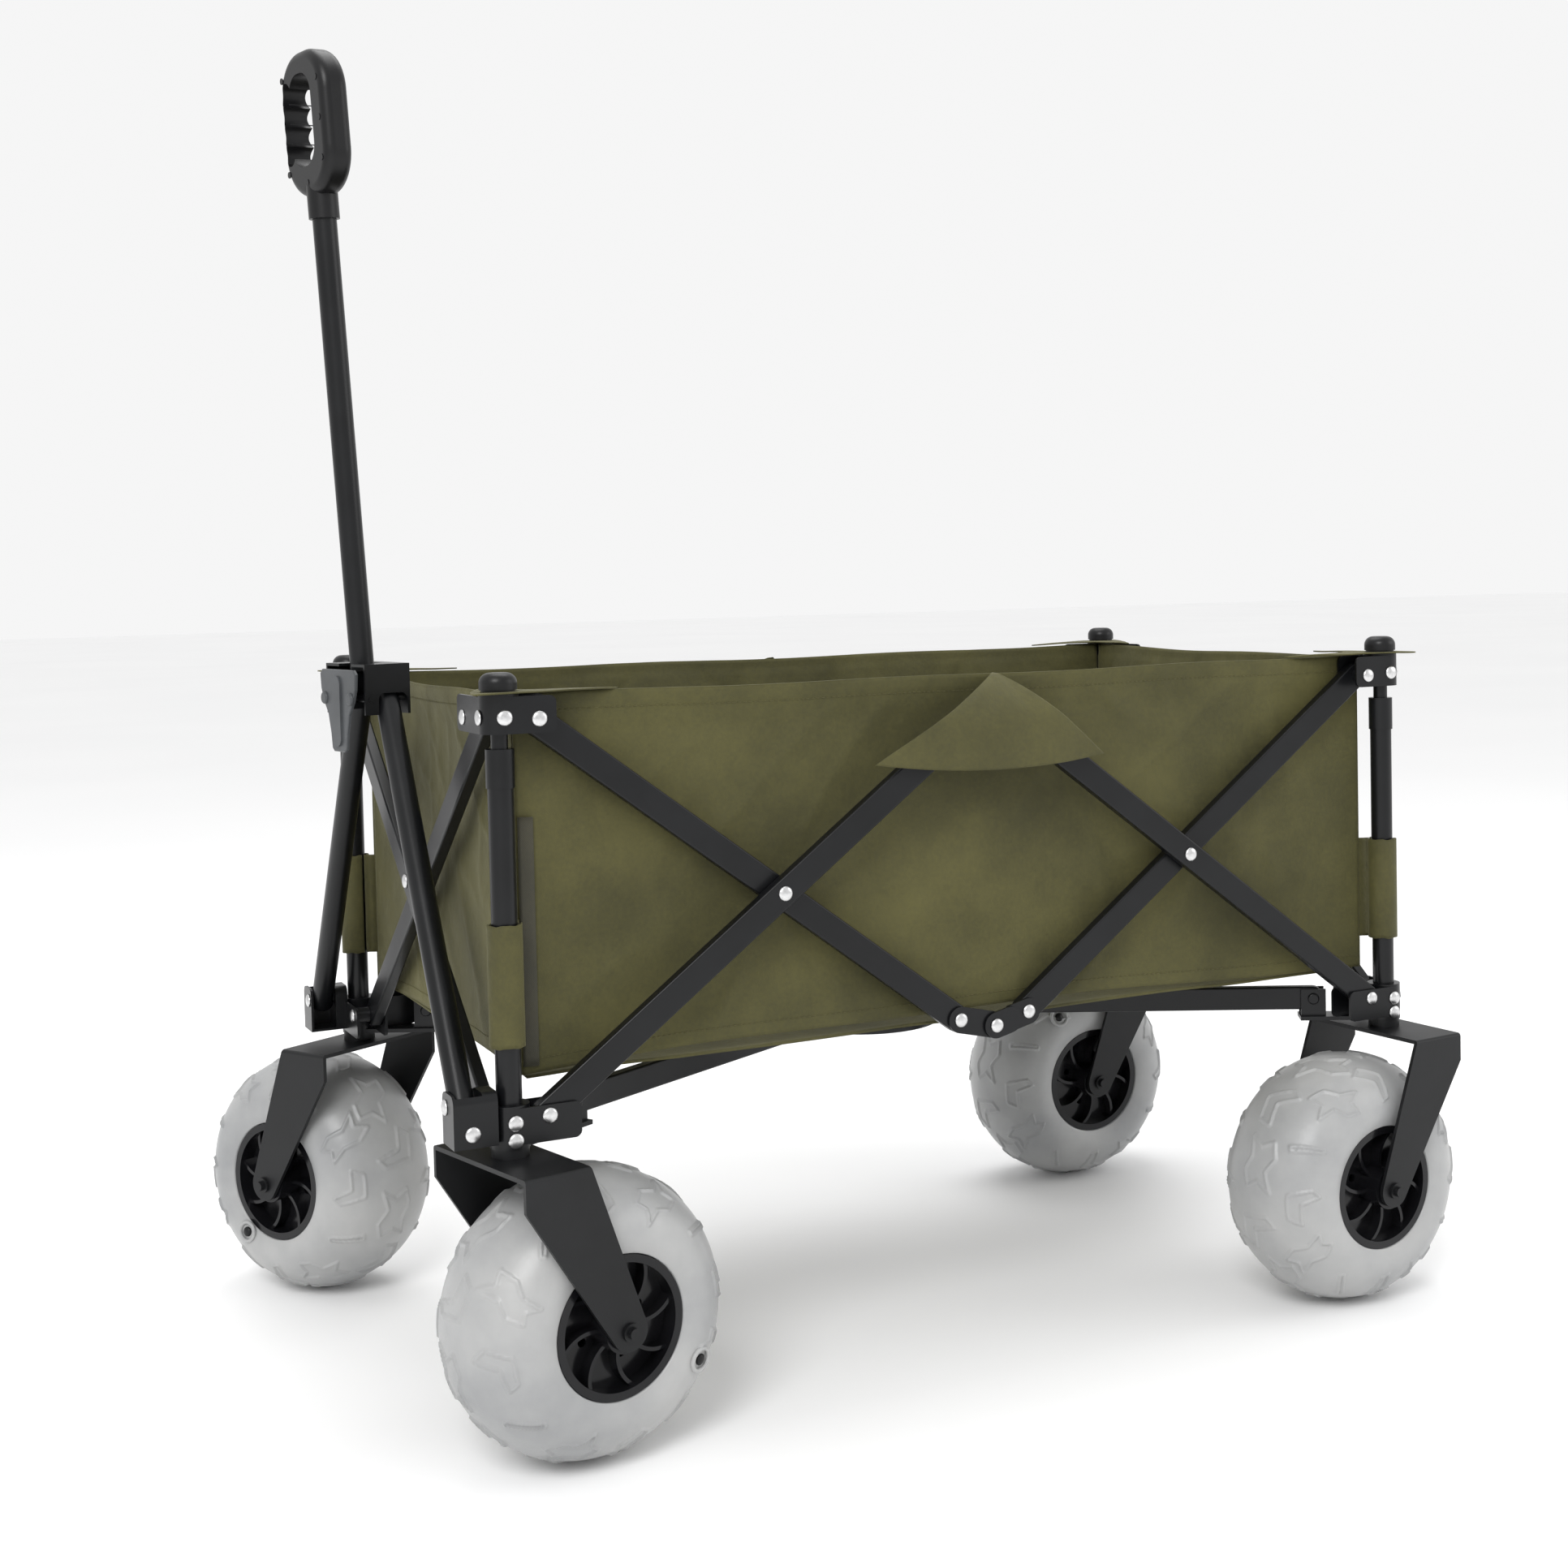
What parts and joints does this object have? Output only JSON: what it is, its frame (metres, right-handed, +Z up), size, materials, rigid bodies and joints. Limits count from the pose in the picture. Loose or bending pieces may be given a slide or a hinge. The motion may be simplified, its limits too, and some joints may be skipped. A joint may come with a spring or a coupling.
{
  "type": "folding beach cart",
  "caption": "Collapsible scissor-frame cart with a cloth basket, swivelling balloon-wheel casters, a spider under the floor and an upright pull handle.",
  "frame": {"origin": "bottom centre of the bounding box at rest, on the ground under the wheels", "axes": "+Z up, +X from the handle end to the rear end, -Y the near long side"},
  "size_m": [1.1438, 0.8151, 1.2524],
  "materials": {
    "frame_metal": "semi-matte black powder coat",
    "fork_metal": "semi-matte black powder coat",
    "shield_metal": "satin dark grey",
    "hub_plastic": "glossy black",
    "cap_plastic": "matt black",
    "grip_plastic": "fine matt black",
    "tyre": "soft translucent grey balloon",
    "cloth": "olive green woven polyester"
  },
  "bodies": {
    "corner_front_near": {"lower_bracket_nf": "frame_metal", "post_nf": "frame_metal"},
    "top_front_near": {"upper_bracket_nf": "frame_metal", "cap_nf": "cap_plastic", "panel_near": "cloth", "floor_near": "cloth"},
    "swivel_nf": {"fork_nf": "fork_metal"},
    "wheel_nf": {"hub_nf": "hub_plastic", "tyre_nf": "tyre"},
    "bar_nf": {"spider_bar_nf": "frame_metal"},
    "corner_rear_near": {"lower_bracket_nb": "frame_metal", "post_nb": "frame_metal"},
    "top_rear_near": {"upper_bracket_nb": "frame_metal", "cap_nb": "cap_plastic", "panel_back": "cloth"},
    "swivel_nb": {"fork_nb": "fork_metal"},
    "wheel_nb": {"hub_nb": "hub_plastic", "tyre_nb": "tyre"},
    "bar_nb": {"spider_bar_nb": "frame_metal"},
    "corner_front_far": {"lower_bracket_ff": "frame_metal", "post_ff": "frame_metal"},
    "top_front_far": {"upper_bracket_ff": "frame_metal", "cap_ff": "cap_plastic", "panel_front": "cloth"},
    "swivel_ff": {"fork_ff": "fork_metal"},
    "wheel_ff": {"hub_ff": "hub_plastic", "tyre_ff": "tyre"},
    "bar_ff": {"spider_bar_ff": "frame_metal"},
    "corner_rear_far": {"lower_bracket_fb": "frame_metal", "post_fb": "frame_metal"},
    "top_rear_far": {"upper_bracket_fb": "frame_metal", "cap_fb": "cap_plastic", "panel_far": "cloth", "floor_far": "cloth"},
    "swivel_fb": {"fork_fb": "fork_metal"},
    "wheel_fb": {"hub_fb": "hub_plastic", "tyre_fb": "tyre"},
    "bar_fb": {"spider_bar_fb": "frame_metal"},
    "arm_outer_nf": {"side_arm_outer_nf": "frame_metal"},
    "arm_inner_nf": {"side_arm_inner_nf": "frame_metal"},
    "arm_outer_nb": {"side_arm_outer_nb": "frame_metal"},
    "arm_inner_nb": {"side_arm_inner_nb": "frame_metal"},
    "arm_outer_ff": {"side_arm_outer_ff": "frame_metal"},
    "arm_inner_ff": {"side_arm_inner_ff": "frame_metal"},
    "arm_outer_fb": {"side_arm_outer_fb": "frame_metal"},
    "arm_inner_fb": {"side_arm_inner_fb": "frame_metal"},
    "end_outer_f": {"end_arm_outer_f": "frame_metal"},
    "end_inner_f": {"end_arm_inner_f": "frame_metal"},
    "end_outer_b": {"end_arm_outer_b": "frame_metal"},
    "end_inner_b": {"end_arm_inner_b": "frame_metal"},
    "hub_plate": {"spider_hub": "frame_metal"},
    "leg_near": {"leg_near": "frame_metal"},
    "leg_far": {"leg_far": "frame_metal"},
    "hood": {"apex_hood": "frame_metal"},
    "handle": {"handle_shaft": "frame_metal", "shield": "shield_metal", "grip": "grip_plastic"}
  },
  "joints": [
    {"name": "fold", "type": "hinge", "parent": "corner_front_near", "child": "arm_outer_nf", "pos_m": [-0.40618, -0.31478, 0.309], "axis": [0, -1, 0], "range_deg": [0, 34], "deforming": ["panel_near", "floor_near", "panel_far", "floor_far", "panel_front", "panel_back"]},
    {"name": "inner_front_n", "type": "hinge", "parent": "arm_outer_nf", "child": "arm_inner_nf", "pos_m": [-0.18268, -0.31478, 0.4775], "axis": [0, -1, 0], "range_deg": [-68, 0]},
    {"name": "top_front_n", "type": "hinge", "parent": "arm_inner_nf", "child": "top_front_near", "pos_m": [-0.40618, -0.31478, 0.646], "axis": [0, -1, 0], "range_deg": [0, 34]},
    {"name": "outer_rear_n", "type": "hinge", "parent": "arm_outer_nf", "child": "arm_outer_nb", "pos_m": [0.03682, -0.31478, 0.624], "axis": [0, -1, 0], "range_deg": [-68, 0]},
    {"name": "corner_rear_n", "type": "hinge", "parent": "arm_outer_nb", "child": "corner_rear_near", "pos_m": [0.47982, -0.31478, 0.309], "axis": [0, -1, 0], "range_deg": [0, 34]},
    {"name": "inner_rear_n", "type": "hinge", "parent": "arm_outer_nb", "child": "arm_inner_nb", "pos_m": [0.25632, -0.31478, 0.4775], "axis": [0, -1, 0], "range_deg": [0, 68]},
    {"name": "top_rear_n", "type": "hinge", "parent": "arm_inner_nb", "child": "top_rear_near", "pos_m": [0.47982, -0.31478, 0.646], "axis": [0, -1, 0], "range_deg": [-34, 0]},
    {"name": "end_outer_f", "type": "hinge", "parent": "corner_front_near", "child": "end_outer_f", "pos_m": [-0.43618, -0.26628, 0.309], "axis": [1, 0, 0], "range_deg": [0, 34]},
    {"name": "end_inner_f", "type": "hinge", "parent": "end_outer_f", "child": "end_inner_f", "pos_m": [-0.43618, -0.04278, 0.4775], "axis": [1, 0, 0], "range_deg": [-68, 0]},
    {"name": "corner_front_far", "type": "hinge", "parent": "end_inner_f", "child": "corner_front_far", "pos_m": [-0.43618, 0.18071, 0.309], "axis": [1, 0, 0], "range_deg": [0, 34]},
    {"name": "outer_front_f", "type": "hinge", "parent": "corner_front_far", "child": "arm_outer_ff", "pos_m": [-0.40618, 0.22922, 0.309], "axis": [0, -1, 0], "range_deg": [0, 34]},
    {"name": "inner_front_f", "type": "hinge", "parent": "arm_outer_ff", "child": "arm_inner_ff", "pos_m": [-0.18268, 0.22922, 0.4775], "axis": [0, -1, 0], "range_deg": [-68, 0]},
    {"name": "top_front_f", "type": "hinge", "parent": "arm_inner_ff", "child": "top_front_far", "pos_m": [-0.40618, 0.22922, 0.646], "axis": [0, -1, 0], "range_deg": [0, 34]},
    {"name": "outer_rear_f", "type": "hinge", "parent": "arm_outer_ff", "child": "arm_outer_fb", "pos_m": [0.03682, 0.22922, 0.624], "axis": [0, -1, 0], "range_deg": [-68, 0]},
    {"name": "corner_rear_f", "type": "hinge", "parent": "arm_outer_fb", "child": "corner_rear_far", "pos_m": [0.47982, 0.22922, 0.309], "axis": [0, -1, 0], "range_deg": [0, 34]},
    {"name": "inner_rear_f", "type": "hinge", "parent": "arm_outer_fb", "child": "arm_inner_fb", "pos_m": [0.25632, 0.22922, 0.4775], "axis": [0, -1, 0], "range_deg": [0, 68]},
    {"name": "top_rear_f", "type": "hinge", "parent": "arm_inner_fb", "child": "top_rear_far", "pos_m": [0.47982, 0.22922, 0.646], "axis": [0, -1, 0], "range_deg": [-34, 0]},
    {"name": "end_outer_b", "type": "hinge", "parent": "corner_rear_near", "child": "end_outer_b", "pos_m": [0.50982, -0.26628, 0.309], "axis": [1, 0, 0], "range_deg": [0, 34]},
    {"name": "end_inner_b", "type": "hinge", "parent": "end_outer_b", "child": "end_inner_b", "pos_m": [0.50982, -0.04278, 0.4775], "axis": [1, 0, 0], "range_deg": [-68, 0]},
    {"name": "spider_nf", "type": "hinge", "parent": "corner_front_near", "child": "bar_nf", "pos_m": [-0.37116, -0.2774, 0.305], "axis": [0.4985, -0.8669, 0], "range_deg": [0, 81.6]},
    {"name": "spider_nb", "type": "hinge", "parent": "corner_rear_near", "child": "bar_nb", "pos_m": [0.44481, -0.2774, 0.305], "axis": [0.4985, 0.8669, 0], "range_deg": [0, 81.6]},
    {"name": "spider_ff", "type": "hinge", "parent": "corner_front_far", "child": "bar_ff", "pos_m": [-0.37116, 0.19183, 0.305], "axis": [-0.4985, -0.8669, 0], "range_deg": [0, 81.6]},
    {"name": "spider_fb", "type": "hinge", "parent": "corner_rear_far", "child": "bar_fb", "pos_m": [0.44481, 0.19183, 0.305], "axis": [-0.4985, 0.8669, 0], "range_deg": [0, 81.6]},
    {"name": "hub_lift", "type": "slide", "parent": "corner_front_near", "child": "hub_plate", "axis": [-0.7364, -0.3872, 0.5548], "range_m": [0, 0.34247]},
    {"name": "leg_near", "type": "hinge", "parent": "corner_front_near", "child": "leg_near", "pos_m": [-0.47518, -0.30878, 0.322], "axis": [1, 0, 0], "range_deg": [0, 20.6]},
    {"name": "leg_far", "type": "hinge", "parent": "corner_front_far", "child": "leg_far", "pos_m": [-0.47518, 0.22321, 0.322], "axis": [1, 0, 0], "range_deg": [-20.6, 0]},
    {"name": "hood", "type": "hinge", "parent": "leg_near", "child": "hood", "pos_m": [-0.46956, -0.0692, 0.655], "axis": [1, 0, 0], "range_deg": [-20.6, 0]},
    {"name": "handle_tilt", "type": "hinge", "parent": "hood", "child": "handle", "pos_m": [-0.49572, -0.04715, 0.655], "axis": [0.2079, -0.9781, 0], "range_deg": [0, 75]},
    {"name": "swivel_nf", "type": "hinge", "parent": "corner_front_near", "child": "swivel_nf", "pos_m": [-0.43618, -0.31478, 0.275], "axis": [0, 0, 1], "continuous": true},
    {"name": "roll_nf", "type": "hinge", "parent": "swivel_nf", "child": "wheel_nf", "pos_m": [-0.37272, -0.30072, 0.127], "axis": [-0.2164, 0.9763, 0], "continuous": true},
    {"name": "swivel_nb", "type": "hinge", "parent": "corner_rear_near", "child": "swivel_nb", "pos_m": [0.50982, -0.31478, 0.275], "axis": [0, 0, 1], "continuous": true},
    {"name": "roll_nb", "type": "hinge", "parent": "swivel_nb", "child": "wheel_nb", "pos_m": [0.44507, -0.32045, 0.127], "axis": [0.0872, -0.9962, 0], "continuous": true},
    {"name": "swivel_ff", "type": "hinge", "parent": "corner_front_far", "child": "swivel_ff", "pos_m": [-0.43618, 0.22922, 0.275], "axis": [0, 0, 1], "continuous": true},
    {"name": "roll_ff", "type": "hinge", "parent": "swivel_ff", "child": "wheel_ff", "pos_m": [-0.46868, 0.28551, 0.127], "axis": [-0.866, -0.5, 0], "continuous": true},
    {"name": "swivel_fb", "type": "hinge", "parent": "corner_rear_far", "child": "swivel_fb", "pos_m": [0.50982, 0.22922, 0.275], "axis": [0, 0, 1], "continuous": true},
    {"name": "roll_fb", "type": "hinge", "parent": "swivel_fb", "child": "wheel_fb", "pos_m": [0.44486, 0.22695, 0.127], "axis": [0.0349, -0.9994, 0], "continuous": true}
  ],
  "couplings": [
    {"joint": "inner_front_n", "follows": "fold", "ratio": -2},
    {"joint": "top_front_n", "follows": "fold", "ratio": 1},
    {"joint": "outer_rear_n", "follows": "fold", "ratio": -2},
    {"joint": "corner_rear_n", "follows": "fold", "ratio": 1},
    {"joint": "inner_rear_n", "follows": "fold", "ratio": 2},
    {"joint": "top_rear_n", "follows": "fold", "ratio": -1},
    {"joint": "end_outer_f", "follows": "fold", "ratio": 1},
    {"joint": "end_inner_f", "follows": "fold", "ratio": -2},
    {"joint": "corner_front_far", "follows": "fold", "ratio": 1},
    {"joint": "outer_front_f", "follows": "fold", "ratio": 1},
    {"joint": "inner_front_f", "follows": "fold", "ratio": -2},
    {"joint": "top_front_f", "follows": "fold", "ratio": 1},
    {"joint": "outer_rear_f", "follows": "fold", "ratio": -2},
    {"joint": "corner_rear_f", "follows": "fold", "ratio": 1},
    {"joint": "inner_rear_f", "follows": "fold", "ratio": 2},
    {"joint": "top_rear_f", "follows": "fold", "ratio": -1},
    {"joint": "end_outer_b", "follows": "fold", "ratio": 1},
    {"joint": "end_inner_b", "follows": "fold", "ratio": -2},
    {"joint": "spider_nf", "follows": "fold", "ratio": 2.4},
    {"joint": "spider_nb", "follows": "fold", "ratio": 2.4},
    {"joint": "spider_ff", "follows": "fold", "ratio": 2.4},
    {"joint": "spider_fb", "follows": "fold", "ratio": 2.4},
    {"joint": "hub_lift", "follows": "fold", "m_per_rad": 0.57712},
    {"joint": "leg_near", "follows": "fold", "ratio": 0.606},
    {"joint": "leg_far", "follows": "fold", "ratio": -0.606},
    {"joint": "hood", "follows": "fold", "ratio": -0.606}
  ]
}
